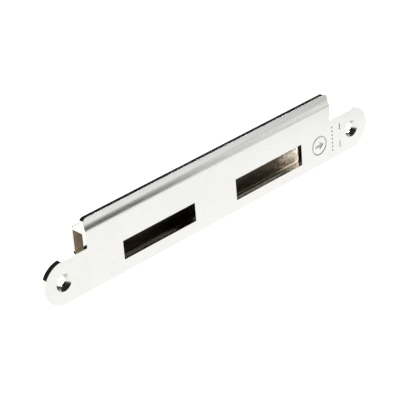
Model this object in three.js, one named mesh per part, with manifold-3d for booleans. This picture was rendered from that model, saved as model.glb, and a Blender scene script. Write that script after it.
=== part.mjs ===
// Lipped strike plate for a mortise lock, with the folded keep channel that is welded to its back.
//
// Frame, in millimetres: X runs along the plate, Y runs from the front face (Y = 0) into the door
// frame, and Z points up to the lip. The origin is on the front face, at the plate's mid length and
// on the centre line of its two end tongues.
import * as THREE from "three";
import { mergeVertices } from "three/addons/utils/BufferGeometryUtils.js";
import Module from "manifold-3d";

const degrees = THREE.MathUtils.degToRad;

// Driving dimensions of the plate.
const PLATE_LENGTH = 240;
const TONGUE_WIDTH = 25;
const PLATE_THICKNESS = 3;
const WIDE_LENGTH = 180.5;

// The lip leans back out of the plate's plane, then rises almost parallel to it.
const LIP_START = 21;
const LIP_STEEP_LEAN = degrees(24);
const LIP_TIP_LEAN = degrees(8);
const LIP_FIRST_RADIUS = 5;
const LIP_SECOND_RADIUS = 9.5;
const LIP_STEEP_RUN = 0.2;
const LIP_TIP_RUN = 3;
const LIP_CORNER_RADIUS = 2.5;

// The two bolt slots, at equal distances from mid length: the narrow one takes the deadbolt and
// the tall one the latch.
const SLOT_LENGTH = 51.4;
const SLOT_CENTRE_Z = 0.25;
const DEADBOLT_SLOT = { centreX: -41, height: 11.2 };
const LATCH_SLOT = { centreX: 41, height: 12.9 };

// Countersunk screw holes at the centres of the round ends.
const SCREW_HOLE_RADIUS = 2.75;
const COUNTERSINK_RADIUS = 4.95;

// Stamped marks between the latch slot and the screw hole: an up arrow in a ring, a row of dots
// and two bars. They only show which end goes up.
const STAMP_DEPTH = 0.25;
const RING = { x: 81, z: 0, outer: 5.8, inner: 5.1 };
const ARROW = { length: 6.4, headLength: 3, headWidth: 5, shaftWidth: 1.4 };
const DOTS = { x: 91.6, count: 7, pitch: 2.4, radius: 0.5 };
const BARS = { x: 97.8, length: 3.6, width: 0.8, spread: 11 };

// The keep channel: one strip of sheet, folded twice, open at both ends.
const SHEET = 2;
const CHANNEL = { length: 180.5, back: 12.75, top: 21.5, bottom: -12.5, outerRadius: 2.6 };

// Stitch welds in two corners: above the channel, and inside it along its lower arm.
const WELD_LEG = 1.7;
const WELD_LENGTH = 16;
const WELD_STATIONS = { left: -72, middle: 0, right: 72 };

// Neighbouring solids stay this far apart.
const GAP = 0.3;

const ARC_STEPS = 24;
const CUT_MARGIN = 5;

const wasm = await Module();
wasm.setup();

// Local frames for extrusions. A section drawn in (Y, Z) runs along X; an outline drawn in (X, Z)
// runs from the back towards the front face.
const ALONG_X = new THREE.Matrix4().makeBasis(
  new THREE.Vector3(0, 1, 0),
  new THREE.Vector3(0, 0, 1),
  new THREE.Vector3(1, 0, 0),
);
const TOWARDS_FRONT = new THREE.Matrix4().makeBasis(
  new THREE.Vector3(1, 0, 0),
  new THREE.Vector3(0, 0, 1),
  new THREE.Vector3(0, -1, 0),
);

function toSolid(geometry) {
  const bare = geometry.clone();
  bare.deleteAttribute("normal");
  bare.deleteAttribute("uv");
  const merged = mergeVertices(bare, 1e-4);
  const vertProperties = new Float32Array(merged.attributes.position.array);
  const triVerts = new Uint32Array(merged.index.array);
  return new wasm.Manifold(new wasm.Mesh({ numProp: 3, vertProperties, triVerts }));
}

function toGeometry(solid) {
  const mesh = solid.getMesh();
  const geometry = new THREE.BufferGeometry();
  geometry.setAttribute("position", new THREE.BufferAttribute(mesh.vertProperties, 3));
  geometry.setIndex(new THREE.BufferAttribute(mesh.triVerts, 1));
  geometry.computeVertexNormals();
  return geometry;
}

function extrude(shape, depth) {
  return new THREE.ExtrudeGeometry(shape, { depth, bevelEnabled: false, curveSegments: ARC_STEPS });
}

// A prism with its section in (Y, Z), centred on X = 0.
function prismAlongX(section, length) {
  return toSolid(extrude(section, length).applyMatrix4(ALONG_X).translate(-length / 2, 0, 0));
}

// A prism with its outline in (X, Z), between two depths behind the front face.
function prismThroughPlate(outline, front, back) {
  return toSolid(extrude(outline, back - front).applyMatrix4(TOWARDS_FRONT).translate(0, back, 0));
}

function rectangle(centreX, centreZ, width, height) {
  const shape = new THREE.Shape();
  shape.moveTo(centreX - width / 2, centreZ - height / 2);
  shape.lineTo(centreX + width / 2, centreZ - height / 2);
  shape.lineTo(centreX + width / 2, centreZ + height / 2);
  shape.lineTo(centreX - width / 2, centreZ + height / 2);
  shape.closePath();
  return shape;
}

// The flat blank: a strip with full-round ends, wider in the middle up to where the lip starts.
function blankOutline() {
  const endRadius = TONGUE_WIDTH / 2;
  const endCentre = PLATE_LENGTH / 2 - endRadius;
  const wideEnd = WIDE_LENGTH / 2;
  const outline = new THREE.Shape();
  outline.absarc(endCentre, 0, endRadius, -Math.PI / 2, Math.PI / 2, false);
  outline.lineTo(wideEnd, endRadius);
  outline.lineTo(wideEnd, LIP_START);
  outline.lineTo(-wideEnd, LIP_START);
  outline.lineTo(-wideEnd, endRadius);
  outline.absarc(-endCentre, 0, endRadius, Math.PI / 2, (3 * Math.PI) / 2, false);
  outline.closePath();
  for (const slot of [DEADBOLT_SLOT, LATCH_SLOT]) {
    outline.holes.push(rectangle(slot.centreX, SLOT_CENTRE_Z, SLOT_LENGTH, slot.height));
  }
  return outline;
}

// The lip's section in (Y, Z). Both bends keep the sheet's thickness, so each is a pair of arcs
// about one centre: the first centre lies behind the sheet and the second in front of it.
function lipSection() {
  const firstCentre = new THREE.Vector2(LIP_FIRST_RADIUS, LIP_START);
  const steepRise = new THREE.Vector2(Math.sin(LIP_STEEP_LEAN), Math.cos(LIP_STEEP_LEAN));
  const steepNormal = new THREE.Vector2(-Math.cos(LIP_STEEP_LEAN), Math.sin(LIP_STEEP_LEAN));
  const tipRise = new THREE.Vector2(Math.sin(LIP_TIP_LEAN), Math.cos(LIP_TIP_LEAN));
  const tipNormal = new THREE.Vector2(-Math.cos(LIP_TIP_LEAN), Math.sin(LIP_TIP_LEAN));
  const secondCentre = firstCentre
    .clone()
    .addScaledVector(steepNormal, LIP_FIRST_RADIUS + LIP_SECOND_RADIUS)
    .addScaledVector(steepRise, LIP_STEEP_RUN);
  const tipFront = secondCentre
    .clone()
    .addScaledVector(tipNormal, -LIP_SECOND_RADIUS)
    .addScaledVector(tipRise, LIP_TIP_RUN);
  const tipBack = tipFront.clone().addScaledVector(tipNormal, -PLATE_THICKNESS);

  const section = new THREE.Shape();
  const firstEnd = Math.PI - LIP_STEEP_LEAN;
  section.absarc(firstCentre.x, firstCentre.y, LIP_FIRST_RADIUS, Math.PI, firstEnd, true);
  section.absarc(
    secondCentre.x,
    secondCentre.y,
    LIP_SECOND_RADIUS,
    -LIP_STEEP_LEAN,
    -LIP_TIP_LEAN,
    false,
  );
  section.lineTo(tipFront.x, tipFront.y);
  section.lineTo(tipBack.x, tipBack.y);
  section.absarc(
    secondCentre.x,
    secondCentre.y,
    LIP_SECOND_RADIUS + PLATE_THICKNESS,
    -LIP_TIP_LEAN,
    -LIP_STEEP_LEAN,
    true,
  );
  const innerRadius = LIP_FIRST_RADIUS - PLATE_THICKNESS;
  section.absarc(firstCentre.x, firstCentre.y, innerRadius, firstEnd, Math.PI, false);
  section.closePath();
  return { section, top: tipFront.y };
}

// The lip with its two upper corners rounded.
function lipSolid() {
  const { section, top } = lipSection();
  const end = WIDE_LENGTH / 2;
  const corner = end - LIP_CORNER_RADIUS;
  const shoulder = top - LIP_CORNER_RADIUS;
  const silhouette = new THREE.Shape();
  silhouette.moveTo(-end, LIP_START - CUT_MARGIN);
  silhouette.lineTo(end, LIP_START - CUT_MARGIN);
  silhouette.absarc(corner, shoulder, LIP_CORNER_RADIUS, 0, Math.PI / 2, false);
  silhouette.absarc(-corner, shoulder, LIP_CORNER_RADIUS, Math.PI / 2, Math.PI, false);
  silhouette.closePath();
  const rounded = prismThroughPlate(silhouette, -CUT_MARGIN, PLATE_THICKNESS + CUT_MARGIN);
  return prismAlongX(section, WIDE_LENGTH).intersect(rounded);
}

// A 90 degree countersink that runs into the screw's clearance hole, on the Y axis.
function countersinkCutter() {
  const coneDepth = COUNTERSINK_RADIUS - SCREW_HOLE_RADIUS;
  const profile = [
    new THREE.Vector2(0, -CUT_MARGIN),
    new THREE.Vector2(COUNTERSINK_RADIUS + CUT_MARGIN, -CUT_MARGIN),
    new THREE.Vector2(SCREW_HOLE_RADIUS, coneDepth),
    new THREE.Vector2(SCREW_HOLE_RADIUS, PLATE_THICKNESS + CUT_MARGIN),
    new THREE.Vector2(0, PLATE_THICKNESS + CUT_MARGIN),
  ];
  return new THREE.LatheGeometry(profile, 2 * ARC_STEPS);
}

function ringOutline() {
  const ring = new THREE.Shape();
  ring.absarc(RING.x, RING.z, RING.outer, 0, 2 * Math.PI, false);
  const middle = new THREE.Path();
  middle.absarc(RING.x, RING.z, RING.inner, 0, 2 * Math.PI, true);
  ring.holes.push(middle);
  return ring;
}

// An arrow inside the ring that points along +X, which is up when the plate is on its jamb.
function arrowOutline() {
  const tail = RING.x - ARROW.length / 2;
  const tip = RING.x + ARROW.length / 2;
  const neck = tip - ARROW.headLength;
  const shape = new THREE.Shape();
  shape.moveTo(tail, RING.z - ARROW.shaftWidth / 2);
  shape.lineTo(neck, RING.z - ARROW.shaftWidth / 2);
  shape.lineTo(neck, RING.z - ARROW.headWidth / 2);
  shape.lineTo(tip, RING.z);
  shape.lineTo(neck, RING.z + ARROW.headWidth / 2);
  shape.lineTo(neck, RING.z + ARROW.shaftWidth / 2);
  shape.lineTo(tail, RING.z + ARROW.shaftWidth / 2);
  shape.closePath();
  return shape;
}

function stampOutlines() {
  const outlines = [ringOutline(), arrowOutline()];
  for (let i = 0; i < DOTS.count; i++) {
    const dot = new THREE.Shape();
    const z = (i - (DOTS.count - 1) / 2) * DOTS.pitch;
    dot.absarc(DOTS.x, z, DOTS.radius, 0, 2 * Math.PI, false);
    outlines.push(dot);
  }
  for (const side of [-1, 1]) {
    outlines.push(rectangle(BARS.x, (side * BARS.spread) / 2, BARS.width, BARS.length));
  }
  return outlines;
}

function faceplateGeometry() {
  let plate = prismThroughPlate(blankOutline(), 0, PLATE_THICKNESS).add(lipSolid());
  const screwCentre = (PLATE_LENGTH - TONGUE_WIDTH) / 2;
  for (const side of [-1, 1]) {
    plate = plate.subtract(toSolid(countersinkCutter().translate(side * screwCentre, 0, 0)));
  }
  for (const outline of stampOutlines()) {
    plate = plate.subtract(prismThroughPlate(outline, -CUT_MARGIN, STAMP_DEPTH));
  }
  return toGeometry(plate);
}

// The channel's section in (Y, Z): outer outline from the upper edge round to the lower edge, then
// the inner outline back again.
function channelGeometry() {
  const frontEdge = PLATE_THICKNESS + GAP;
  const { back, top, bottom, outerRadius } = CHANNEL;
  const innerRadius = outerRadius - SHEET;
  const bendY = back - outerRadius;
  const section = new THREE.Shape();
  section.moveTo(frontEdge, top);
  section.absarc(bendY, top - outerRadius, outerRadius, Math.PI / 2, 0, true);
  section.absarc(bendY, bottom + outerRadius, outerRadius, 0, -Math.PI / 2, true);
  section.lineTo(frontEdge, bottom);
  section.lineTo(frontEdge, bottom + SHEET);
  section.absarc(bendY, bottom + outerRadius, innerRadius, -Math.PI / 2, 0, false);
  section.absarc(bendY, top - outerRadius, innerRadius, 0, Math.PI / 2, false);
  section.lineTo(frontEdge, top - SHEET);
  section.closePath();
  return toGeometry(prismAlongX(section, CHANNEL.length));
}

// One stitch weld: an ellipsoid along the seam, of which only the part in the corner between the
// channel and the sheet is left. The corner opens along +Y and +Z, and its upright side leans back
// by the given angle.
function weldGeometry(lean) {
  const bead = new THREE.SphereGeometry(1, ARC_STEPS, ARC_STEPS / 2);
  bead.scale(WELD_LENGTH / 2, WELD_LEG, WELD_LEG);
  const reach = 2 * WELD_LEG;
  const corner = new THREE.Shape();
  corner.moveTo(0, 0);
  corner.lineTo(reach, 0);
  corner.lineTo(reach, reach);
  corner.lineTo(reach * Math.tan(lean), reach);
  corner.closePath();
  return toGeometry(toSolid(bead).intersect(prismAlongX(corner, WELD_LENGTH)));
}

// Satin nickel plate over steel; the folded channel is a little duller and the welds duller still.
function nickel(colour, roughness) {
  return new THREE.MeshStandardMaterial({ color: colour, roughness, metalness: 1 });
}

function piece(name, geometry, material) {
  const mesh = new THREE.Mesh(geometry, material);
  mesh.name = name;
  return mesh;
}

function weldRow(row, lean, z) {
  const group = new THREE.Group();
  group.position.set(0, PLATE_THICKNESS + GAP, z);
  for (const [place, x] of Object.entries(WELD_STATIONS)) {
    const weld = piece(`${row}_weld_${place}`, weldGeometry(lean), nickel(0xa8a39a, 0.5));
    weld.position.x = x;
    group.add(weld);
  }
  return group;
}

const strikePlate = new THREE.Group();
strikePlate.name = "lipped_strike_plate";
strikePlate.add(piece("faceplate", faceplateGeometry(), nickel(0xd8d6d0, 0.28)));

const keep = new THREE.Group();
keep.add(piece("keep_channel", channelGeometry(), nickel(0xc9c4ba, 0.32)));
keep.add(weldRow("upper", LIP_STEEP_LEAN, CHANNEL.top + GAP));
keep.add(weldRow("lower", 0, CHANNEL.bottom + SHEET + GAP));
strikePlate.add(keep);

export default strikePlate;
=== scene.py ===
# %% [markdown]
# # A lipped strike plate, made the way a press shop makes it
#
# The object is a strike plate for a mortise lock: a nickel plated steel plate with round ends, a
# stepped lip along one edge, two bolt slots and two countersunk screw holes. A folded channel is
# welded to its back. Both parts start as flat sheet, so this lesson draws each flat blank first
# and then folds it. That keeps the sheet's thickness even in every bend, as a press brake does.

import math

import bmesh
import bpy
from mathutils import Matrix, Vector


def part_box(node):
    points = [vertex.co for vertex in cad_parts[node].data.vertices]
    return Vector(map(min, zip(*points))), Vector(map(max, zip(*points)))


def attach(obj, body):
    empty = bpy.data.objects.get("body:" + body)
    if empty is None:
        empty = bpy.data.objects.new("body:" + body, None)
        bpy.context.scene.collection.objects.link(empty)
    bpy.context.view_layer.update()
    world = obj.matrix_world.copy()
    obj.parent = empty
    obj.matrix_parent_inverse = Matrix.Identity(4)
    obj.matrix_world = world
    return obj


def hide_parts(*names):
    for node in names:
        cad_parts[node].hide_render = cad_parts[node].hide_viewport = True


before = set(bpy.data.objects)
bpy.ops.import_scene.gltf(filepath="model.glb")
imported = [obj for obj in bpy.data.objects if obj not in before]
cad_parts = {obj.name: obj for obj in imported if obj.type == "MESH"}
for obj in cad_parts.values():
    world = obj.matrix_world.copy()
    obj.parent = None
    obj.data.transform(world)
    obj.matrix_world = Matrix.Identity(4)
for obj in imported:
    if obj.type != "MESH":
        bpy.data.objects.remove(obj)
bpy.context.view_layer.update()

# %% [markdown]
# ## Sizes
#
# The outer sizes are read from the frame, so the looks follow the design. The few sizes that no
# box can show, such as bend radii, are named here in millimetres and turned into metres.

# %% Sizes from the frame and sizes of the bends
MM = 0.001

plate_low, plate_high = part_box("faceplate")
channel_low, channel_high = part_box("keep_channel")

WELD_GAP = 0.3 * MM
PLATE_END = plate_high.x
END_RADIUS = -plate_low.z
SHEET = channel_low.y - WELD_GAP
WIDE_END = channel_high.x

LIP_START = 21 * MM
LIP_STEEP_LEAN = math.radians(24)
LIP_TIP_LEAN = math.radians(8)
LIP_FIRST_RADIUS = 5 * MM
LIP_SECOND_RADIUS = 9.5 * MM
LIP_STEEP_RUN = 0.2 * MM
LIP_TIP_RUN = 3 * MM
LIP_CORNER_RADIUS = 2.5 * MM

SLOT_LENGTH = 51.4 * MM
SLOT_OFFSET = 41 * MM
SLOT_CENTRE_Z = 0.25 * MM
DEADBOLT_SLOT_HEIGHT = 11.2 * MM
LATCH_SLOT_HEIGHT = 12.9 * MM
SLOT_CORNER_RADIUS = 0.35 * MM

SCREW_HOLE_RADIUS = 2.75 * MM
COUNTERSINK_RADIUS = 4.95 * MM

CHANNEL_SHEET = 2 * MM
CHANNEL_BEND_RADIUS = 2.6 * MM

print("plate", round(2 * PLATE_END / MM, 1), "mm long,", round(SHEET / MM, 2), "mm thick")

# %% [markdown]
# ## Drawing a blank
#
# A blank is a flat outline with holes. Each outline is a closed list of points with the metal on
# its left: the outside runs anticlockwise and a hole runs clockwise. Straight sides need only
# their ends, and every round is worked out by one arc function.

# %% Outlines with the metal on the left
ARC_STEP = math.radians(5)


def arc(centre_x, centre_z, radius, start, end):
    """Points on an arc, in degrees from +X; it runs clockwise when end is less than start."""
    turn = math.radians(end - start)
    steps = max(2, round(abs(turn) / ARC_STEP))
    angles = [math.radians(start) + turn * i / steps for i in range(steps + 1)]
    return [(centre_x + radius * math.cos(a), centre_z + radius * math.sin(a)) for a in angles]


def round_rectangle(centre_x, centre_z, width, height, radius):
    """A clockwise rectangle with rounded corners, for a punched slot."""
    right, top = width / 2 - radius, height / 2 - radius
    points = arc(centre_x + right, centre_z + top, radius, 90, 0)
    points += arc(centre_x + right, centre_z - top, radius, 0, -90)
    points += arc(centre_x - right, centre_z - top, radius, -90, -180)
    points += arc(centre_x - right, centre_z + top, radius, 180, 90)
    return points


def circle(centre_x, centre_z, radius):
    """A clockwise circle, for a punched hole. The last point isn't the first one again."""
    return arc(centre_x, centre_z, radius, 360, 0)[:-1]


def shifted(points, distance):
    """The outline moved into the metal by a distance, with mitred corners."""
    moved = []
    for i, (x, z) in enumerate(points):
        before = Vector((x, z)) - Vector(points[i - 1])
        after = Vector(points[(i + 1) % len(points)]) - Vector((x, z))
        left_before = Vector((-before.y, before.x)).normalized()
        left_after = Vector((-after.y, after.x)).normalized()
        mitre = (left_before + left_after) / (1 + left_before.dot(left_after))
        moved.append((x + distance * mitre.x, z + distance * mitre.y))
    return moved


print("a screw hole takes", len(circle(0, 0, SCREW_HOLE_RADIUS)), "points")

# %% [markdown]
# ## The edge of a punched hole
#
# A punch drags the sheet down with it, so one side of a cut edge is rolled over and the other
# side is nearly sharp. A cut edge is described by steps of (distance into the metal, depth below
# the face). The same steps make a countersink or the wall of a stamped mark, so one function
# builds every wall in this lesson.

# %% Walls from edge steps
# Places in a piece's list of finishes. The channel's inside takes the place of the brushed front.
BRUSHED, BRIGHT, PLAIN, STAMPED, CONE = range(5)
INSIDE = BRUSHED
ROLL_STEPS = 4
BURR_CORNER = 0.3


def rolled_edge(thickness, roll, burr):
    """Edge steps from the face, over a rolled corner, down the cut and round a small burr."""
    steps = []
    for i in range(ROLL_STEPS + 1):
        angle = math.pi / 2 * i / ROLL_STEPS
        steps.append((roll * (1 - math.sin(angle)), roll * (1 - math.cos(angle))))
    steps.append((0, thickness - burr))
    steps.append((burr * BURR_CORNER, thickness - burr * BURR_CORNER))
    steps.append((burr, thickness))
    return steps


def wall(mesh, outline, steps, finishes):
    """Rings of faces along an outline, one finish each. It returns the first and last ring's edges."""
    rings = []
    for inset, depth in steps:
        ring = [mesh.verts.new((x, depth, z)) for x, z in shifted(outline, inset)]
        rings.append(ring)
    for upper, lower, finish in zip(rings, rings[1:], finishes):
        for i in range(len(outline)):
            face = mesh.faces.new((upper[i - 1], lower[i - 1], lower[i], upper[i]))
            face.material_index = finish
    ends = []
    for ring in (rings[0], rings[-1]):
        ends.append([mesh.edges.get((ring[i - 1], ring[i])) for i in range(len(ring))])
    return ends


def fill(mesh, edges, finish):
    """Fills a flat face between outlines, holes and all."""
    made = bmesh.ops.triangle_fill(mesh, edges=edges, use_beauty=True)
    for item in made["geom"]:
        if isinstance(item, bmesh.types.BMFace):
            item.material_index = finish


print("a rolled corner takes", ROLL_STEPS + 1, "steps")

# %% [markdown]
# ## Folding a blank
#
# A fold is a rule that says where each point of the flat sheet goes. The sheet needs a row of
# points across it wherever it curves, so the blank is first cut along those rows. The cuts add no
# gaps: they only give the bend something to bend.

# %% Fold and finish a sheet
BEND_STEP = math.radians(3)
SHARP_CORNER = math.radians(40)
SAME_POINT = 1e-7


def bend_rows(start, radius, turn):
    """Heights at which a bend of that radius needs a row of points, from its start to its end."""
    steps = max(1, math.ceil(turn / BEND_STEP))
    return [start + radius * turn * i / steps for i in range(steps + 1)]


def fold(mesh, rows, rule):
    """Cuts the flat sheet along its rows, then moves every point to where the rule puts it."""
    for height in rows:
        geometry = mesh.verts[:] + mesh.edges[:] + mesh.faces[:]
        bmesh.ops.bisect_plane(
            mesh, geom=geometry, dist=SAME_POINT, plane_co=(0, 0, height), plane_no=(0, 0, 1)
        )
    for vertex in mesh.verts:
        vertex.co = rule(vertex.co.x, vertex.co.z, vertex.co.y)


def finished_piece(name, mesh, finishes):
    """A smooth-shaded object whose flat faces stay flat, because large faces set the normals."""
    bmesh.ops.remove_doubles(mesh, verts=mesh.verts, dist=SAME_POINT)
    bmesh.ops.recalc_face_normals(mesh, faces=mesh.faces)
    data = bpy.data.meshes.new(name)
    mesh.to_mesh(data)
    mesh.free()
    for polygon in data.polygons:
        polygon.use_smooth = True
    data.set_sharp_from_angle(angle=SHARP_CORNER)
    for finish in finishes:
        data.materials.append(finish)
    piece = bpy.data.objects.new(name, data)
    bpy.context.scene.collection.objects.link(piece)
    weighted = piece.modifiers.new("flat faces stay flat", "WEIGHTED_NORMAL")
    weighted.mode = "FACE_AREA"
    weighted.weight = 100
    weighted.keep_sharp = True
    print(name, len(data.vertices), "points,", len(data.polygons), "faces")
    return piece


print("a square bend takes", len(bend_rows(0, CHANNEL_BEND_RADIUS, math.pi / 2)), "rows")

# %% [markdown]
# ## Finishes: brushed nickel
#
# The plate's front was brushed along its length before it was plated. Fine parallel scratches
# blur a reflection across the brushing and leave it sharp along it. Blender's anisotropic gloss
# does that, turned by a tangent that runs round the X axis. A stretched noise changes the gloss a
# little from scratch to scratch, and a slow noise gives the faint clouds of worn plating.


# %% Brushed nickel
def shade_of(tone, share):
    """A tone with its red, green and blue each scaled, as a colour with full opacity."""
    return (*(part * scale for part, scale in zip(tone, share)), 1)


WORN_SHARE = (0.97, 0.975, 0.975)


def brushed_nickel(name, tone, gloss_low, gloss_high, scratch_depth):
    material = bpy.data.materials.new(name)
    material.use_nodes = True
    tree = material.node_tree
    nodes, links = tree.nodes, tree.links
    nodes.clear()

    brushing = nodes.new("NodeFrame")
    brushing.label = "Brushing along the length"
    clouds = nodes.new("NodeFrame")
    clouds.label = "Faint clouds in the plating"

    place = nodes.new("ShaderNodeTexCoord")
    place.label = "Position on the piece"
    place.location = (-1400, 0)

    stretch = nodes.new("ShaderNodeMapping")
    stretch.label = "Long scratches"
    stretch.location = (-1200, 200)
    stretch.parent = brushing
    stretch.inputs["Scale"].default_value = (90, 2600, 2600)

    scratches = nodes.new("ShaderNodeTexNoise")
    scratches.label = "Scratches"
    scratches.location = (-1000, 200)
    scratches.parent = brushing
    scratches.inputs["Scale"].default_value = 1
    scratches.inputs["Detail"].default_value = 5
    scratches.inputs["Roughness"].default_value = 0.62

    gloss = nodes.new("ShaderNodeMapRange")
    gloss.label = "Gloss of each scratch"
    gloss.location = (-760, 260)
    gloss.parent = brushing
    gloss.inputs["From Min"].default_value = 0.3
    gloss.inputs["From Max"].default_value = 0.7
    gloss.inputs["To Min"].default_value = gloss_low
    gloss.inputs["To Max"].default_value = gloss_high

    groove = nodes.new("ShaderNodeBump")
    groove.label = "Scratch depth"
    groove.location = (-760, 0)
    groove.parent = brushing
    groove.inputs["Strength"].default_value = scratch_depth
    groove.inputs["Distance"].default_value = 0.05 * MM

    round_x = nodes.new("ShaderNodeTangent")
    round_x.label = "Round the X axis"
    round_x.location = (-760, -260)
    round_x.parent = brushing
    round_x.direction_type = "RADIAL"
    round_x.axis = "X"

    worn = nodes.new("ShaderNodeTexNoise")
    worn.label = "Clouds"
    worn.location = (-1000, 560)
    worn.parent = clouds
    worn.inputs["Scale"].default_value = 45
    worn.inputs["Detail"].default_value = 3

    shades = nodes.new("ShaderNodeValToRGB")
    shades.label = "Warm and cool nickel"
    shades.location = (-760, 560)
    shades.parent = clouds
    shades.color_ramp.elements[0].position = 0.36
    shades.color_ramp.elements[0].color = shade_of(tone, WORN_SHARE)
    shades.color_ramp.elements[1].position = 0.64
    shades.color_ramp.elements[1].color = (*tone, 1)

    surface = nodes.new("ShaderNodeBsdfPrincipled")
    surface.label = "Nickel"
    surface.location = (-400, 200)
    surface.inputs["Metallic"].default_value = 1
    surface.inputs["Anisotropic"].default_value = 0.55

    out = nodes.new("ShaderNodeOutputMaterial")
    out.location = (-100, 200)

    links.new(place.outputs["Object"], stretch.inputs["Vector"])
    links.new(stretch.outputs["Vector"], scratches.inputs["Vector"])
    links.new(scratches.outputs["Fac"], gloss.inputs["Value"])
    links.new(scratches.outputs["Fac"], groove.inputs["Height"])
    links.new(place.outputs["Object"], worn.inputs["Vector"])
    links.new(worn.outputs["Fac"], shades.inputs["Fac"])
    links.new(shades.outputs["Color"], surface.inputs["Base Color"])
    links.new(gloss.outputs["Result"], surface.inputs["Roughness"])
    links.new(groove.outputs["Normal"], surface.inputs["Normal"])
    links.new(round_x.outputs["Tangent"], surface.inputs["Tangent"])
    links.new(surface.outputs["BSDF"], out.inputs["Surface"])
    return material


FRONT_TONE = (0.74, 0.72, 0.68)

front_nickel = brushed_nickel(
    "brushed_nickel", FRONT_TONE, gloss_low=0.22, gloss_high=0.34, scratch_depth=0.15
)
print(front_nickel.name, len(front_nickel.node_tree.nodes), "nodes")

# %% [markdown]
# ## Finishes: bright cut edges, stamped floors, cones and welds
#
# A cut edge isn't brushed. The punch leaves it smooth and the nickel makes it almost a mirror,
# with faint marks that run through the sheet's thickness. Stamped floors, turned countersinks and
# weld beads are the same plating over rougher metal, so one function makes all four. They differ
# in tone, in gloss, and in how deep their marks are and which way those run. The stamped floors'
# darker tone is painted shade in the shallow recesses, and their rougher gloss is the metal's own.


# %% Smooth nickel
def smooth_nickel(name, tone, dull_tone, gloss_low, gloss_high, grain, depth):
    material = bpy.data.materials.new(name)
    material.use_nodes = True
    tree = material.node_tree
    nodes, links = tree.nodes, tree.links
    nodes.clear()

    drag = nodes.new("NodeFrame")
    drag.label = "Marks of the tool"
    plating = nodes.new("NodeFrame")
    plating.label = "Uneven plating"

    place = nodes.new("ShaderNodeTexCoord")
    place.label = "Position on the piece"
    place.location = (-1400, 0)

    along = nodes.new("ShaderNodeMapping")
    along.label = "Direction of the marks"
    along.location = (-1200, 200)
    along.parent = drag
    along.inputs["Scale"].default_value = grain

    marks = nodes.new("ShaderNodeTexNoise")
    marks.label = "Marks"
    marks.location = (-1000, 200)
    marks.parent = drag
    marks.inputs["Scale"].default_value = 1
    marks.inputs["Detail"].default_value = 3

    relief = nodes.new("ShaderNodeBump")
    relief.label = "Relief of the marks"
    relief.location = (-760, 0)
    relief.parent = drag
    relief.inputs["Strength"].default_value = depth
    relief.inputs["Distance"].default_value = 0.03 * MM

    spread = nodes.new("ShaderNodeTexNoise")
    spread.label = "Thick and thin plating"
    spread.location = (-1000, 560)
    spread.parent = plating
    spread.inputs["Scale"].default_value = 110
    spread.inputs["Detail"].default_value = 4

    shades = nodes.new("ShaderNodeValToRGB")
    shades.label = "Bright and dull nickel"
    shades.location = (-760, 620)
    shades.parent = plating
    shades.color_ramp.elements[0].position = 0.35
    shades.color_ramp.elements[0].color = (*dull_tone, 1)
    shades.color_ramp.elements[1].position = 0.65
    shades.color_ramp.elements[1].color = (*tone, 1)

    gloss = nodes.new("ShaderNodeMapRange")
    gloss.label = "Gloss of the plating"
    gloss.location = (-760, 340)
    gloss.parent = plating
    gloss.inputs["From Min"].default_value = 0.35
    gloss.inputs["From Max"].default_value = 0.65
    gloss.inputs["To Min"].default_value = gloss_high
    gloss.inputs["To Max"].default_value = gloss_low

    surface = nodes.new("ShaderNodeBsdfPrincipled")
    surface.label = "Nickel"
    surface.location = (-400, 200)
    surface.inputs["Metallic"].default_value = 1

    out = nodes.new("ShaderNodeOutputMaterial")
    out.location = (-100, 200)

    links.new(place.outputs["Object"], along.inputs["Vector"])
    links.new(along.outputs["Vector"], marks.inputs["Vector"])
    links.new(marks.outputs["Fac"], relief.inputs["Height"])
    links.new(place.outputs["Object"], spread.inputs["Vector"])
    links.new(spread.outputs["Fac"], shades.inputs["Fac"])
    links.new(spread.outputs["Fac"], gloss.inputs["Value"])
    links.new(shades.outputs["Color"], surface.inputs["Base Color"])
    links.new(gloss.outputs["Result"], surface.inputs["Roughness"])
    links.new(relief.outputs["Normal"], surface.inputs["Normal"])
    links.new(surface.outputs["BSDF"], out.inputs["Surface"])
    return material


ACROSS_THE_SHEET = (2200, 160, 2200)
NO_DIRECTION = (1500, 1500, 1500)

EDGE_TONE, EDGE_DULL = (0.78, 0.76, 0.72), (0.73, 0.71, 0.67)
# Stamped floors have a darker tone: painted shade in the recesses.
STAMP_PAINTED_SHADE_TONE, STAMP_DULL_PAINTED_SHADE = (0.5, 0.48, 0.45), (0.34, 0.32, 0.3)
CONE_TONE, CONE_DULL = (0.72, 0.7, 0.66), (0.66, 0.64, 0.6)
WELD_TONE, WELD_DULL = (0.6, 0.55, 0.48), (0.36, 0.31, 0.27)

cut_edge = smooth_nickel(
    "bright_cut_edge",
    EDGE_TONE,
    EDGE_DULL,
    gloss_low=0.05,
    gloss_high=0.1,
    grain=ACROSS_THE_SHEET,
    depth=0.005,
)
stamped_floor_painted_shade = smooth_nickel(
    "stamped_floor_painted_shade",
    STAMP_PAINTED_SHADE_TONE,
    STAMP_DULL_PAINTED_SHADE,
    gloss_low=0.3,
    gloss_high=0.45,
    grain=NO_DIRECTION,
    depth=0.4,
)
cone_nickel = smooth_nickel(
    "turned_cone",
    CONE_TONE,
    CONE_DULL,
    gloss_low=0.2,
    gloss_high=0.3,
    grain=NO_DIRECTION,
    depth=0.1,
)
weld_nickel = smooth_nickel(
    "weld_nickel",
    WELD_TONE,
    WELD_DULL,
    gloss_low=0.34,
    gloss_high=0.52,
    grain=NO_DIRECTION,
    depth=0.5,
)
print("finishes:", [m.name for m in (cut_edge, stamped_floor_painted_shade, cone_nickel, weld_nickel)])

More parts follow.
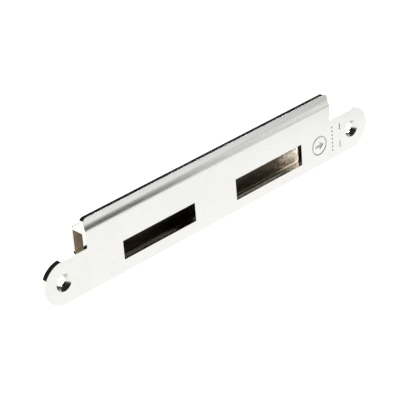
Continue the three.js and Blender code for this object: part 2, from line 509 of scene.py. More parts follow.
# %% [markdown]
# ## Finishes: the plain side, with painted light at one end
#
# Nobody polishes the channel or the plate's back. Near the channel's left open end the nickel
# turns lighter, duller and less metallic, and brown inside the channel: this is painted light where
# light comes in at the open end, and the brown is painted warm light that bounces inside. The mask
# measures how near a point is to that end and blends bright plating into the duller one. The
# channel's inside gets a darker tone of its own, which is painted shade inside the channel.


# %% Plain nickel
THIN_SHARE = (0.96, 0.95, 0.94)
# How far from the channel's left open end the painted light reaches, and how ragged its edge is.
END_LIGHT_REACH = 8 * MM
END_LIGHT_FULL = 4 * MM
END_LIGHT_RAGGED = 4 * MM


def plain_nickel_finish(name, tone, end_light_tone, gloss, end_gloss):
    material = bpy.data.materials.new(name)
    material.use_nodes = True
    tree = material.node_tree
    nodes, links = tree.nodes, tree.links
    nodes.clear()

    # This frame paints light near the channel's left open end, and makes it duller and less metallic
    # there.
    ends = nodes.new("NodeFrame")
    ends.label = "Painted light at the open end"
    plating = nodes.new("NodeFrame")
    plating.label = "Uneven plating"

    place = nodes.new("ShaderNodeTexCoord")
    place.label = "Position on the piece"
    place.location = (-1600, 0)

    spread = nodes.new("ShaderNodeTexNoise")
    spread.label = "Thick and thin plating"
    spread.location = (-1400, 400)
    spread.parent = plating
    spread.inputs["Scale"].default_value = 140
    spread.inputs["Detail"].default_value = 4

    relief = nodes.new("ShaderNodeBump")
    relief.label = "Relief of the plating"
    relief.location = (-700, -260)
    relief.parent = plating
    relief.inputs["Strength"].default_value = 0.1
    relief.inputs["Distance"].default_value = 0.0006 * MM

    axes = nodes.new("ShaderNodeSeparateXYZ")
    axes.label = "Along the plate"
    axes.location = (-1400, 0)
    axes.parent = ends

    ragged = nodes.new("ShaderNodeMath")
    ragged.label = "Ragged edge of the painted light"
    ragged.operation = "MULTIPLY_ADD"
    ragged.location = (-1000, 0)
    ragged.parent = ends
    ragged.inputs[1].default_value = -END_LIGHT_RAGGED

    near_end = nodes.new("ShaderNodeMapRange")
    near_end.label = "How much painted light"
    near_end.interpolation_type = "SMOOTHSTEP"
    near_end.location = (-820, 0)
    near_end.parent = ends
    near_end.inputs["From Min"].default_value = END_LIGHT_REACH - WIDE_END
    near_end.inputs["From Max"].default_value = END_LIGHT_FULL - WIDE_END

    shades = nodes.new("ShaderNodeValToRGB")
    shades.label = "Bright and dull nickel"
    shades.location = (-900, 400)
    shades.parent = plating
    shades.color_ramp.elements[0].position = 0.35
    shades.color_ramp.elements[0].color = shade_of(tone, THIN_SHARE)
    shades.color_ramp.elements[1].position = 0.65
    shades.color_ramp.elements[1].color = (*tone, 1)

    blend = nodes.new("ShaderNodeMix")
    blend.label = "Painted light over nickel"
    blend.data_type = "RGBA"
    blend.location = (-560, 300)
    blend.inputs["B"].default_value = (*end_light_tone, 1)

    metal = nodes.new("ShaderNodeMapRange")
    metal.label = "Less bare metal at the open end"
    metal.location = (-560, 60)
    metal.inputs["To Min"].default_value = 1
    metal.inputs["To Max"].default_value = 0.15

    dullness = nodes.new("ShaderNodeMapRange")
    dullness.label = "Dull at the open end"
    dullness.location = (-560, -160)
    dullness.inputs["To Min"].default_value = gloss
    dullness.inputs["To Max"].default_value = end_gloss

    surface = nodes.new("ShaderNodeBsdfPrincipled")
    surface.label = "Plain nickel"
    surface.location = (-300, 200)

    out = nodes.new("ShaderNodeOutputMaterial")
    out.location = (0, 200)

    links.new(place.outputs["Object"], spread.inputs["Vector"])
    links.new(place.outputs["Object"], axes.inputs["Vector"])
    links.new(spread.outputs["Fac"], ragged.inputs[0])
    links.new(axes.outputs["X"], ragged.inputs[2])
    links.new(ragged.outputs["Value"], near_end.inputs["Value"])
    links.new(spread.outputs["Fac"], shades.inputs["Fac"])
    links.new(spread.outputs["Fac"], relief.inputs["Height"])
    links.new(near_end.outputs["Result"], blend.inputs["Factor"])
    links.new(shades.outputs["Color"], blend.inputs["A"])
    links.new(near_end.outputs["Result"], metal.inputs["Value"])
    links.new(near_end.outputs["Result"], dullness.inputs["Value"])
    links.new(blend.outputs["Result"], surface.inputs["Base Color"])
    links.new(metal.outputs["Result"], surface.inputs["Metallic"])
    links.new(dullness.outputs["Result"], surface.inputs["Roughness"])
    links.new(relief.outputs["Normal"], surface.inputs["Normal"])
    links.new(surface.outputs["BSDF"], out.inputs["Surface"])
    return material


PLAIN_TONE = (0.76, 0.735, 0.69)
# The channel's inside has a darker tone: painted shade inside the channel.
INNER_PAINTED_SHADE_TONE = (0.42, 0.375, 0.32)
# Lighter tones at the left open end: painted light where light comes in, and inside the channel the
# brown paints the warm light that bounces there.
FAINT_END_LIGHT = (0.8, 0.78, 0.74)
BROWN_END_LIGHT = (0.72, 0.6, 0.45)

plain_nickel = plain_nickel_finish(
    "plain_nickel", PLAIN_TONE, FAINT_END_LIGHT, gloss=0.2, end_gloss=0.4
)
inner_nickel_painted_shade = plain_nickel_finish(
    "inner_nickel_painted_shade", INNER_PAINTED_SHADE_TONE, BROWN_END_LIGHT, gloss=0.27, end_gloss=0.4
)
print(plain_nickel.name, len(plain_nickel.node_tree.nodes), "nodes")

# %% [markdown]
# ## The faceplate
#
# The real plate is blanked from 3 mm strip in one stroke: round ends, slots and screw holes. A
# second stroke presses the lip, and a third stamps the marks. A box with booleans could give the
# same outline, but its corners would be razor sharp and catch no light. Here the blank is drawn
# flat with rolled edges, and the lip is folded last, as in the press.


# %% The blank's outline, with the lip still flat
LIP_BEND_TURN = LIP_STEEP_LEAN - LIP_TIP_LEAN
LIP_FIRST_LENGTH = LIP_FIRST_RADIUS * LIP_STEEP_LEAN
LIP_SECOND_LENGTH = LIP_SECOND_RADIUS * LIP_BEND_TURN
LIP_LENGTH = LIP_FIRST_LENGTH + LIP_STEEP_RUN + LIP_SECOND_LENGTH + LIP_TIP_RUN


def blank_outline():
    end_centre = PLATE_END - END_RADIUS
    lip_corner_x = WIDE_END - LIP_CORNER_RADIUS
    lip_corner_z = LIP_START + LIP_LENGTH - LIP_CORNER_RADIUS
    outline = arc(end_centre, 0, END_RADIUS, -90, 90)
    outline.append((WIDE_END, END_RADIUS))
    outline += arc(lip_corner_x, lip_corner_z, LIP_CORNER_RADIUS, 0, 90)
    outline += arc(-lip_corner_x, lip_corner_z, LIP_CORNER_RADIUS, 90, 180)
    outline.append((-WIDE_END, END_RADIUS))
    outline += arc(-end_centre, 0, END_RADIUS, 90, 270)
    return outline


def slot_outline(side, height):
    return round_rectangle(side * SLOT_OFFSET, SLOT_CENTRE_Z, SLOT_LENGTH, height, SLOT_CORNER_RADIUS)


print("lip is", round(LIP_LENGTH / MM, 2), "mm long when flat")

# %% [markdown]
# ## Stamped marks
#
# A plate like this carries stamped marks beside the latch slot. These are plain ones: an arrow in
# a ring that shows which end goes up, a row of dots and two short bars. Each is a shallow recess
# with its own wall and floor, so it catches light as real stamping does.

# %% Outlines of the stamped marks
STAMP_DEPTH = 0.25 * MM
RING_X, RING_OUTER, RING_INNER = 81 * MM, 5.8 * MM, 5.1 * MM
ARROW_LENGTH, ARROW_HEAD, ARROW_WIDTH, ARROW_SHAFT = 6.4 * MM, 3 * MM, 5 * MM, 1.4 * MM
DOT_X, DOT_COUNT, DOT_PITCH, DOT_RADIUS = 91.6 * MM, 7, 2.4 * MM, 0.5 * MM
BAR_X, BAR_WIDTH, BAR_LENGTH, BAR_SPREAD = 97.8 * MM, 0.8 * MM, 3.6 * MM, 11 * MM
STAMP_CORNER = 0.12 * MM
STAMP_ROLL = 0.05 * MM
STAMP_TAPER = 0.04 * MM
STAMP_STEPS = [(STAMP_ROLL, 0), (0, STAMP_ROLL), (-STAMP_TAPER, STAMP_DEPTH)]


def arrow_outline():
    """A clockwise arrow that points along +X."""
    tail, tip = RING_X - ARROW_LENGTH / 2, RING_X + ARROW_LENGTH / 2
    neck = tip - ARROW_HEAD
    upper = [(tail, ARROW_SHAFT / 2), (neck, ARROW_SHAFT / 2), (neck, ARROW_WIDTH / 2)]
    lower = [(x, -z) for x, z in reversed(upper)]
    return upper + [(tip, 0)] + lower


def stamp(mesh):
    """Walls and floors of all marks. It returns their edges in the front face."""
    front_edges = []

    def sink(outlines):
        floor_edges = []
        for outline in outlines:
            first, last = wall(mesh, outline, STAMP_STEPS, [STAMPED] * len(STAMP_STEPS))
            front_edges.extend(first)
            floor_edges.extend(last)
        fill(mesh, floor_edges, STAMPED)

    ring_middle = list(reversed(circle(RING_X, 0, RING_INNER)))
    sink([circle(RING_X, 0, RING_OUTER), ring_middle])
    sink([arrow_outline()])
    for i in range(DOT_COUNT):
        sink([circle(DOT_X, (i - (DOT_COUNT - 1) / 2) * DOT_PITCH, DOT_RADIUS)])
    for side in (-1, 1):
        centre_z = side * BAR_SPREAD / 2
        sink([round_rectangle(BAR_X, centre_z, BAR_WIDTH, BAR_LENGTH, STAMP_CORNER)])
    return front_edges


print("marks: a ring, an arrow,", DOT_COUNT, "dots and 2 bars,", round(STAMP_DEPTH / MM, 2), "mm deep")

# %% [markdown]
# ## Pressing the lip
#
# The lip is a joggle: it leans back out of the plate's plane round one bend, and a second bend
# turns it nearly upright again. The rule below walks up the sheet and says where each height
# lands. In the first bend the centre lies behind the sheet, and in the second in front of it.


# %% Where the press moves each point
def pressed_lip(x, height, depth):
    rise = height - LIP_START
    if rise <= 0:
        return Vector((x, depth, height))
    first = min(rise / LIP_FIRST_RADIUS, LIP_STEEP_LEAN)
    reach = LIP_FIRST_RADIUS - depth
    point = Vector((LIP_FIRST_RADIUS - reach * math.cos(first), LIP_START + reach * math.sin(first)))
    rise -= LIP_FIRST_LENGTH
    if rise > 0:
        run = min(rise, LIP_STEEP_RUN)
        point += run * Vector((math.sin(LIP_STEEP_LEAN), math.cos(LIP_STEEP_LEAN)))
        rise -= LIP_STEEP_RUN
    if rise > 0:
        turned = min(rise / LIP_SECOND_RADIUS, LIP_BEND_TURN)
        lean = LIP_STEEP_LEAN - turned
        reach = LIP_SECOND_RADIUS + depth
        point += reach * Vector((math.cos(lean) - math.cos(LIP_STEEP_LEAN), 0))
        point += reach * Vector((0, math.sin(LIP_STEEP_LEAN) - math.sin(lean)))
        rise -= LIP_SECOND_LENGTH
    if rise > 0:
        point += rise * Vector((math.sin(LIP_TIP_LEAN), math.cos(LIP_TIP_LEAN)))
    return Vector((x, point.x, point.y))


second_bend = LIP_START + LIP_FIRST_LENGTH + LIP_STEEP_RUN
lip_rows = bend_rows(LIP_START, LIP_FIRST_RADIUS, LIP_STEEP_LEAN)
lip_rows += bend_rows(second_bend, LIP_SECOND_RADIUS, LIP_BEND_TURN)
lip_tip = pressed_lip(0, LIP_START + LIP_LENGTH, 0)
print("lip tip", [round(v / MM, 2) for v in lip_tip], "plate top", round(plate_high.z / MM, 2))

# %% Punch, stamp and press the faceplate
EDGE_ROLL = 0.03 * MM
EDGE_BURR = 0.03 * MM
CONE_DEPTH = COUNTERSINK_RADIUS - SCREW_HOLE_RADIUS
CONE_EDGE = 0.08 * MM
COUNTERSINK_STEPS = [
    (CONE_DEPTH + CONE_EDGE, 0),
    (CONE_DEPTH, CONE_EDGE / 2),
    (0, CONE_DEPTH + CONE_EDGE / 2),
    (0, SHEET - EDGE_BURR),
    (EDGE_BURR, SHEET),
]
COUNTERSINK_FINISHES = [CONE, CONE, BRIGHT, BRIGHT]


def make_faceplate():
    mesh = bmesh.new()
    edge = rolled_edge(SHEET, EDGE_ROLL, EDGE_BURR)
    bright = [BRIGHT] * len(edge)
    cuts = [(blank_outline(), edge, bright)]
    cuts.append((slot_outline(-1, DEADBOLT_SLOT_HEIGHT), edge, bright))
    cuts.append((slot_outline(1, LATCH_SLOT_HEIGHT), edge, bright))
    for side in (-1, 1):
        hole = circle(side * (PLATE_END - END_RADIUS), 0, SCREW_HOLE_RADIUS)
        cuts.append((hole, COUNTERSINK_STEPS, COUNTERSINK_FINISHES))
    front_edges = stamp(mesh)
    back_edges = []
    for outline, steps, finishes in cuts:
        first, last = wall(mesh, outline, steps, finishes)
        front_edges.extend(first)
        back_edges.extend(last)
    fill(mesh, front_edges, BRUSHED)
    fill(mesh, back_edges, PLAIN)
    fold(mesh, lip_rows, pressed_lip)
    finishes = (front_nickel, cut_edge, plain_nickel, stamped_floor_painted_shade, cone_nickel)
    return finished_piece("strike_faceplate", mesh, finishes)


faceplate = make_faceplate()

# %% [markdown]
# ## The keep channel
#
# Behind the slots sits a channel that shields the thrown bolts. It is one strip of 2 mm sheet
# with two square folds, open at both ends. Its blank is a plain rectangle, so the same steps make
# it: a wall round the outline, two filled faces, and a folding rule that walks along the top, down
# the back and forward again.

# %% Fold the channel
CHANNEL_EDGE_ROLL = 0.2 * MM
QUARTER = math.pi / 2
CHANNEL_SEAT_GAP = 0.02 * MM
CHANNEL_FRONT = SHEET + CHANNEL_SEAT_GAP
CHANNEL_ARM = channel_high.y - CHANNEL_BEND_RADIUS - CHANNEL_FRONT
CHANNEL_BACK = channel_high.z - channel_low.z - 2 * CHANNEL_BEND_RADIUS
CHANNEL_BEND = CHANNEL_BEND_RADIUS * QUARTER
CHANNEL_STRIP = 2 * CHANNEL_ARM + 2 * CHANNEL_BEND + CHANNEL_BACK


def folded_channel(x, travel, depth):
    """travel runs from the top arm's front edge to the bottom arm's front edge."""
    reach = CHANNEL_BEND_RADIUS - depth
    bend_y = channel_high.y - CHANNEL_BEND_RADIUS
    top_z = channel_high.z - CHANNEL_BEND_RADIUS
    low_z = channel_low.z + CHANNEL_BEND_RADIUS
    if travel <= CHANNEL_ARM:
        return Vector((x, CHANNEL_FRONT + travel, channel_high.z - depth))
    travel -= CHANNEL_ARM
    if travel <= CHANNEL_BEND:
        turn = travel / CHANNEL_BEND_RADIUS
        return Vector((x, bend_y + reach * math.sin(turn), top_z + reach * math.cos(turn)))
    travel -= CHANNEL_BEND
    if travel <= CHANNEL_BACK:
        return Vector((x, channel_high.y - depth, top_z - travel))
    travel -= CHANNEL_BACK
    if travel <= CHANNEL_BEND:
        turn = travel / CHANNEL_BEND_RADIUS
        return Vector((x, bend_y + reach * math.cos(turn), low_z - reach * math.sin(turn)))
    travel -= CHANNEL_BEND
    return Vector((x, bend_y - travel, channel_low.z + depth))


def make_channel():
    mesh = bmesh.new()
    end = channel_high.x
    corners = [(-end, 0), (end, 0), (end, CHANNEL_STRIP), (-end, CHANNEL_STRIP)]
    steps = rolled_edge(CHANNEL_SHEET, CHANNEL_EDGE_ROLL, CHANNEL_EDGE_ROLL)
    outer, inner = wall(mesh, corners, steps, [BRIGHT] * len(steps))
    fill(mesh, outer, PLAIN)
    fill(mesh, inner, INSIDE)
    second_fold = CHANNEL_ARM + CHANNEL_BEND + CHANNEL_BACK
    rows = bend_rows(CHANNEL_ARM, CHANNEL_BEND_RADIUS, QUARTER)
    rows += bend_rows(second_fold, CHANNEL_BEND_RADIUS, QUARTER)
    fold(mesh, rows, folded_channel)
    return finished_piece("folded_keep_channel", mesh, (inner_nickel_painted_shade, cut_edge, plain_nickel))


channel = make_channel()

# %% [markdown]
# ## Stitch welds
#
# Six short weld beads hold the channel to the plate: three above it and three inside, along its
# lower arm, where they keep clear of the slots. A bead is a row of overlapping puddles, so its
# surface has ripples. Geometry Nodes suit it: a line is swept with a round section whose
# radius swells and shrinks along the way. The tree has named inputs, so one tree makes all six.


# %% The bead as a node tree
# How thick the bead is, as a share of its leg, at its tips and at shares of its length.
BEAD_TIP = 0.2
BEAD_SWELL = ((0.06, 0.72), (0.16, 0.95), (0.84, 0.95), (0.94, 0.72))
BEAD_POINTS = 90
BEAD_SIDES = 24


def weld_tree():
    tree = bpy.data.node_groups.new("stitch_weld", "GeometryNodeTree")
    interface = tree.interface
    interface.new_socket("Geometry", in_out="OUTPUT", socket_type="NodeSocketGeometry")
    for label in ("Length", "Leg", "Ripples", "Ripple Height"):
        interface.new_socket(label, in_out="INPUT", socket_type="NodeSocketFloat")
    interface.new_socket("Material", in_out="INPUT", socket_type="NodeSocketMaterial")
    nodes, links = tree.nodes, tree.links

    sizes = nodes.new("NodeGroupInput")
    sizes.location = (-1400, 0)

    half = nodes.new("ShaderNodeMath")
    half.label = "Half length"
    half.operation = "MULTIPLY"
    half.inputs[1].default_value = 0.5
    half.location = (-1200, 300)

    start = nodes.new("ShaderNodeMath")
    start.label = "Start"
    start.operation = "MULTIPLY"
    start.inputs[1].default_value = -1
    start.location = (-1000, 380)

    start_point = nodes.new("ShaderNodeCombineXYZ")
    start_point.location = (-820, 380)
    end_point = nodes.new("ShaderNodeCombineXYZ")
    end_point.location = (-820, 240)

    seam = nodes.new("GeometryNodeCurvePrimitiveLine")
    seam.label = "Seam"
    seam.location = (-640, 300)

    dense = nodes.new("GeometryNodeResampleCurve")
    dense.label = "Points for the ripples"
    dense.location = (-460, 300)
    dense.inputs["Count"].default_value = BEAD_POINTS

    share = nodes.new("GeometryNodeSplineParameter")
    share.label = "Share of the length"
    share.location = (-1200, -100)

    ripple_count = nodes.new("ShaderNodeMath")
    ripple_count.label = "Which ripple"
    ripple_count.operation = "MULTIPLY"
    ripple_count.location = (-1000, -200)

    ripple = nodes.new("ShaderNodeMath")
    ripple.label = "Rise of one ripple"
    ripple.operation = "FRACT"
    ripple.location = (-820, -200)

    ripple_height = nodes.new("ShaderNodeMath")
    ripple_height.label = "Ripple height"
    ripple_height.operation = "MULTIPLY"
    ripple_height.location = (-640, -200)

    swell = nodes.new("ShaderNodeMath")
    swell.label = "Swelling bead"
    swell.operation = "SUBTRACT"
    swell.inputs[0].default_value = 1
    swell.location = (-460, -200)

    ends = nodes.new("ShaderNodeFloatCurve")
    ends.label = "Rounded ends"
    ends.location = (-1000, 80)
    curve = ends.mapping.curves[0]
    curve.points[0].location = (0, BEAD_TIP)
    curve.points[1].location = (1, BEAD_TIP)
    for place, thickness in BEAD_SWELL:
        curve.points.new(place, thickness)
    ends.mapping.update()

    shaped = nodes.new("ShaderNodeMath")
    shaped.label = "Bead with round ends"
    shaped.operation = "MULTIPLY"
    shaped.location = (-280, -60)

    bead_size = nodes.new("ShaderNodeMath")
    bead_size.label = "Bead radius"
    bead_size.operation = "MULTIPLY"
    bead_size.location = (-100, -60)

    section = nodes.new("GeometryNodeCurvePrimitiveCircle")
    section.label = "Round section"
    section.location = (-280, 500)
    section.inputs["Resolution"].default_value = BEAD_SIDES
    section.inputs["Radius"].default_value = 1

    sweep = nodes.new("GeometryNodeCurveToMesh")
    sweep.label = "Sweep along the seam"
    sweep.location = (80, 300)
    sweep.inputs["Fill Caps"].default_value = True

    smooth = nodes.new("GeometryNodeSetShadeSmooth")
    smooth.location = (260, 300)
    realize = nodes.new("GeometryNodeRealizeInstances")
    realize.location = (440, 300)
    finish = nodes.new("GeometryNodeSetMaterial")
    finish.location = (620, 300)
    out = nodes.new("NodeGroupOutput")
    out.location = (800, 300)

    links.new(sizes.outputs["Length"], half.inputs[0])
    links.new(half.outputs["Value"], start.inputs[0])
    links.new(start.outputs["Value"], start_point.inputs["X"])
    links.new(half.outputs["Value"], end_point.inputs["X"])
    links.new(start_point.outputs["Vector"], seam.inputs["Start"])
    links.new(end_point.outputs["Vector"], seam.inputs["End"])
    links.new(seam.outputs["Curve"], dense.inputs["Curve"])
    links.new(share.outputs["Factor"], ends.inputs["Value"])
    links.new(share.outputs["Factor"], ripple_count.inputs[0])
    links.new(sizes.outputs["Ripples"], ripple_count.inputs[1])
    links.new(ripple_count.outputs["Value"], ripple.inputs[0])
    links.new(ripple.outputs["Value"], ripple_height.inputs[0])
    links.new(sizes.outputs["Ripple Height"], ripple_height.inputs[1])
    links.new(ripple_height.outputs["Value"], swell.inputs[1])
    links.new(ends.outputs["Value"], shaped.inputs[0])
    links.new(swell.outputs["Value"], shaped.inputs[1])
    links.new(shaped.outputs["Value"], bead_size.inputs[0])
    links.new(sizes.outputs["Leg"], bead_size.inputs[1])
    links.new(dense.outputs["Curve"], sweep.inputs["Curve"])
    links.new(section.outputs["Curve"], sweep.inputs["Profile Curve"])
    links.new(bead_size.outputs["Value"], sweep.inputs["Scale"])
    links.new(sweep.outputs["Mesh"], smooth.inputs["Geometry"])
    links.new(smooth.outputs["Geometry"], realize.inputs["Geometry"])
    links.new(realize.outputs["Geometry"], finish.inputs["Geometry"])
    links.new(sizes.outputs["Material"], finish.inputs["Material"])
    links.new(finish.outputs["Geometry"], out.inputs["Geometry"])
    return tree


bead_tree = weld_tree()
bead_inputs = {
    item.name: item.identifier
    for item in bead_tree.interface.items_tree
    if item.in_out == "INPUT"
}
print("weld inputs", sorted(bead_inputs))

# %% Lay the six beads
WELD_SHORTFALL = 0.12 * MM
WELD_LENGTH_SHARE = 0.98
WELD_RIPPLES = 11.0
WELD_RIPPLE_HEIGHT = 0.16


def make_weld(node, seam_z):
    """A bead as long as its CAD node, centred on the seam between the plate and the channel."""
    low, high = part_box(node)
    leg = max(high.y - SHEET, abs(high.z - seam_z), abs(low.z - seam_z)) - WELD_GAP - WELD_SHORTFALL
    holder = bpy.data.objects.new(node + "_path", bpy.data.meshes.new(node + "_path"))
    bpy.context.scene.collection.objects.link(holder)
    modifier = holder.modifiers.new("stitch weld", "NODES")
    modifier.node_group = bead_tree
    modifier[bead_inputs["Length"]] = (high.x - low.x) * WELD_LENGTH_SHARE
    modifier[bead_inputs["Leg"]] = leg
    modifier[bead_inputs["Ripples"]] = WELD_RIPPLES
    modifier[bead_inputs["Ripple Height"]] = WELD_RIPPLE_HEIGHT
    modifier[bead_inputs["Material"]] = weld_nickel
    evaluated = holder.evaluated_get(bpy.context.evaluated_depsgraph_get())
    data = bpy.data.meshes.new_from_object(evaluated)
    data.transform(Matrix.Translation(((low.x + high.x) / 2, SHEET, seam_z)))
    bpy.data.objects.remove(holder)
    bead = bpy.data.objects.new(node + "_bead", data)
    bpy.context.scene.collection.objects.link(bead)
    return bead


welds = {}
for row, seam_z in (("upper", channel_high.z), ("lower", channel_low.z + CHANNEL_SHEET)):
    for place in ("left", "middle", "right"):
        node = f"{row}_weld_{place}"
        welds[node] = make_weld(node, seam_z)
print(len(welds), "beads,", len(next(iter(welds.values())).data.polygons), "faces each")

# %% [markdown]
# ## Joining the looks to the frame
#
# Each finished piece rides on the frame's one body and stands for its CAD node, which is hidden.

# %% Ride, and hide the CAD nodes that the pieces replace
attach(faceplate, "root")
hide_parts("faceplate")
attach(channel, "root")
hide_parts("keep_channel")
for node, bead in welds.items():
    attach(bead, "root")
    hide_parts(node)
print("pieces on the frame:", 2 + len(welds))

# %% [markdown]
# ## The studio
#
# Polished metal shows its surroundings more than itself, so the studio decides how it looks. It
# is built from sheets that glow. A sheet needs no lamp, and it has the sharp edges that a mirror
# likes to show. None of it is part of the object.

# %% Glowing sheets
COOL_WHITE = (0.98, 1.0, 1.02)


def glowing(name, strength, colour=COOL_WHITE):
    """A material that only gives light, cool white unless another colour is named."""
    material = bpy.data.materials.new(name)
    material.use_nodes = True
    nodes, links = material.node_tree.nodes, material.node_tree.links
    nodes.clear()
    light = nodes.new("ShaderNodeEmission")
    light.inputs["Color"].default_value = (*colour, 1)
    light.inputs["Strength"].default_value = strength
    out = nodes.new("ShaderNodeOutputMaterial")
    out.location = (200, 0)
    links.new(light.outputs["Emission"], out.inputs["Surface"])
    return material


def stage_sheet(name, points, faces, material):
    """Makes a sheet of the studio, which isn't part of the object, and returns it."""
    data = bpy.data.meshes.new(name)
    data.from_pydata(points, [], faces)
    data.materials.append(material)
    sheet = bpy.data.objects.new(name, data)
    bpy.context.scene.collection.objects.link(sheet)
    return sheet


def direction(azimuth, elevation):
    """A unit vector; azimuth is in degrees from +X towards +Y, and elevation is upward."""
    a, e = math.radians(azimuth), math.radians(elevation)
    return Vector((math.cos(a) * math.cos(e), math.sin(a) * math.cos(e), math.sin(e)))


print("straight ahead of the plate is", direction(-90, 0))

# %% [markdown]
# ## The light table
#
# The plate stands on a round, white light table, which is also what its front face reflects. The
# leaning lip looks further out along the table, to a part that the camera doesn't see. There the
# table is shaded to grey, and that makes the lip darker than the face below it.

# %% Lay the table
TABLE_RADIUS = 0.5
TABLE_LIGHT = 1.32
TABLE_SIDES = 64
SHADE_DIRECTION = -43.7
SHADE_START = 0.125
SHADE_FULL = 0.172
SHADED_LIGHT = 0.6


def table_glow():
    """A light table whose far right part, out of the camera's view, is shaded to grey."""
    material = glowing("light_table", 1)
    nodes, links = material.node_tree.nodes, material.node_tree.links
    place = nodes.new("ShaderNodeTexCoord")
    place.location = (-900, 0)
    sideways = nodes.new("ShaderNodeVectorMath")
    sideways.label = "How far to the right"
    sideways.operation = "DOT_PRODUCT"
    sideways.location = (-700, 0)
    sideways.inputs[1].default_value = direction(SHADE_DIRECTION, 0)
    fade = nodes.new("ShaderNodeMapRange")
    fade.label = "Edge of the shade"
    fade.interpolation_type = "SMOOTHSTEP"
    fade.location = (-500, 0)
    fade.inputs["From Min"].default_value = SHADE_START
    fade.inputs["From Max"].default_value = SHADE_FULL
    fade.inputs["To Min"].default_value = TABLE_LIGHT
    fade.inputs["To Max"].default_value = SHADED_LIGHT
    glow = next(node for node in nodes if node.type == "EMISSION")
    links.new(place.outputs["Object"], sideways.inputs[0])
    links.new(sideways.outputs["Value"], fade.inputs["Value"])
    links.new(fade.outputs["Result"], glow.inputs["Strength"])
    return material


rim = [TABLE_RADIUS * direction(360 * i / TABLE_SIDES, 0) for i in range(TABLE_SIDES)]
table_points = [(point.x, point.y, plate_low.z) for point in rim]
stage_sheet("light_table", table_points, [range(TABLE_SIDES)], table_glow())
print("table at height", round(plate_low.z / MM, 2), "mm")

# %% [markdown]
# ## The cards
#
# Cards hang round the table where the metal's reflections look, and the camera can't see them. A
# strong soft box behind and to the right whitens the upward faces. Low walls close the gap
# between the table and the dark room. The side wall ends where the left part of the lip looks
# past it, which darkens the lip's bend there. A kicker is a small card that adds light from one
# side: this one is blue-white, stands by the channel's open right end and shines into it, which
# brightens what shows through the latch slot.

# %% Hang the cards
CARD_STEP = 6
CARD_DISTANCE = 2.0
SIDE_WALL_DISTANCE = 0.6
SKY_BLUE = (0.8, 0.98, 1.25)
KICKER_X = 0.125
KICKER_Y = (0.014, 0.06)
KICKER_Z = (plate_low.z, 0.018)
KICKER_LIGHT = 42
SOFT_BOX_LIGHT = 9
BACK_WALL_LIGHT = 1.3
RIGHT_WALL_LIGHT = 1.1
SIDE_WALL_LIGHT = 1.22


def card(name, azimuths, elevations, strength, distance=CARD_DISTANCE):
    """A curved glowing card that spans those angles seen from the plate; the camera can't see it."""
    columns = max(1, round((azimuths[1] - azimuths[0]) / CARD_STEP))
    points = []
    for i in range(columns + 1):
        azimuth = azimuths[0] + (azimuths[1] - azimuths[0]) * i / columns
        points += [distance * direction(azimuth, elevation) for elevation in elevations]
    faces = [(2 * i, 2 * i + 2, 2 * i + 3, 2 * i + 1) for i in range(columns)]
    stage_sheet(name, points, faces, glowing(name, strength)).visible_camera = False


kicker_points = [(KICKER_X, y, z) for y in KICKER_Y for z in KICKER_Z]
kicker_glow = glowing("kicker_card", KICKER_LIGHT, SKY_BLUE)
stage_sheet("kicker_card", kicker_points, [(0, 1, 3, 2)], kicker_glow).visible_camera = False

card("soft_box", azimuths=(5, 57), elevations=(23.5, 52), strength=SOFT_BOX_LIGHT)
card("back_wall", azimuths=(62, 210), elevations=(-6, 8), strength=BACK_WALL_LIGHT)
card("right_wall", azimuths=(15, 44), elevations=(-6, 23.5), strength=RIGHT_WALL_LIGHT)
card(
    "side_wall",
    azimuths=(-56.5, 5),
    elevations=(-6, 17),
    strength=SIDE_WALL_LIGHT,
    distance=SIDE_WALL_DISTANCE,
)

# %% [markdown]
# ## The room
#
# Above the table the room is dark, which gives the black lines in the mirror-like cut edges. The
# camera sees a pale backdrop there instead, bright enough to come out white like the table, so
# the world mixes the two by whether a ray comes straight from the camera.

# %% Darken the room
ROOM_COLOUR = (0.9, 0.95, 1.0)
ROOM_LIGHT = 0.02

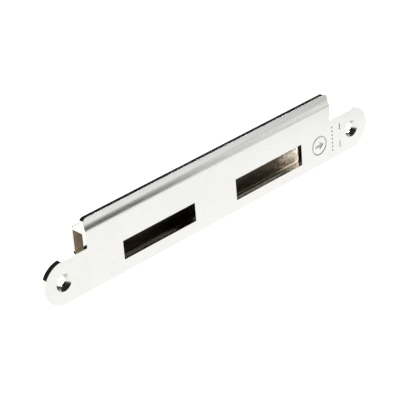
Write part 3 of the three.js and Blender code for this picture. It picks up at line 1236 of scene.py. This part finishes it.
room = bpy.data.worlds.new("studio_room")
bpy.context.scene.world = room
room.use_nodes = True
room_nodes, room_links = room.node_tree.nodes, room.node_tree.links
room_nodes.clear()
dark = room_nodes.new("ShaderNodeBackground")
dark.label = "Dark room in the reflections"
dark.inputs["Color"].default_value = (*ROOM_COLOUR, 1)
dark.inputs["Strength"].default_value = ROOM_LIGHT
pale = room_nodes.new("ShaderNodeBackground")
pale.label = "Pale backdrop for the camera"
pale.inputs["Strength"].default_value = TABLE_LIGHT
pale.location = (0, -140)
ray = room_nodes.new("ShaderNodeLightPath")
ray.location = (0, 320)
choose = room_nodes.new("ShaderNodeMixShader")
choose.location = (220, 0)
room_out = room_nodes.new("ShaderNodeOutputWorld")
room_out.location = (420, 0)
room_links.new(ray.outputs["Is Camera Ray"], choose.inputs["Fac"])
room_links.new(dark.outputs["Background"], choose.inputs[1])
room_links.new(pale.outputs["Background"], choose.inputs[2])
room_links.new(choose.outputs["Shader"], room_out.inputs["Surface"])
print("room light", ROOM_LIGHT, "and table light", TABLE_LIGHT)

# %% [markdown]
# ## The camera
#
# The camera stands in front of the left end, looks down on the plate and is tilted a little to
# one side. A long lens keeps the plate's long edges almost parallel.

# %% Place the camera
VIEW_TURN = math.radians(-41.287)
VIEW_RISE = math.radians(29.357)
VIEW_TILT = math.radians(4.798)
VIEW_DISTANCE = 1.05448
AIM = Vector((-6.03, 6.19, 1.21)) * MM
LENS_LENGTH = 176.17
SENSOR_WIDTH = 36

back = Vector(
    (
        math.sin(VIEW_TURN) * math.cos(VIEW_RISE),
        -math.cos(VIEW_TURN) * math.cos(VIEW_RISE),
        math.sin(VIEW_RISE),
    )
)
level = Vector((0, 0, 1)).cross(back).normalized()
upright = back.cross(level)
right = level * math.cos(VIEW_TILT) - upright * math.sin(VIEW_TILT)
up = back.cross(right)

lens = bpy.data.cameras.new("studio_camera")
lens.lens = LENS_LENGTH
lens.sensor_width = SENSOR_WIDTH
camera = bpy.data.objects.new("studio_camera", lens)
bpy.context.scene.collection.objects.link(camera)
camera.matrix_world = Matrix.Translation(AIM + VIEW_DISTANCE * back) @ Matrix(
    (right, up, back)
).transposed().to_4x4()
bpy.context.scene.camera = camera
bpy.context.scene.view_settings.view_transform = "Standard"
print("camera at", [round(v, 4) for v in camera.matrix_world.translation], "right", right)
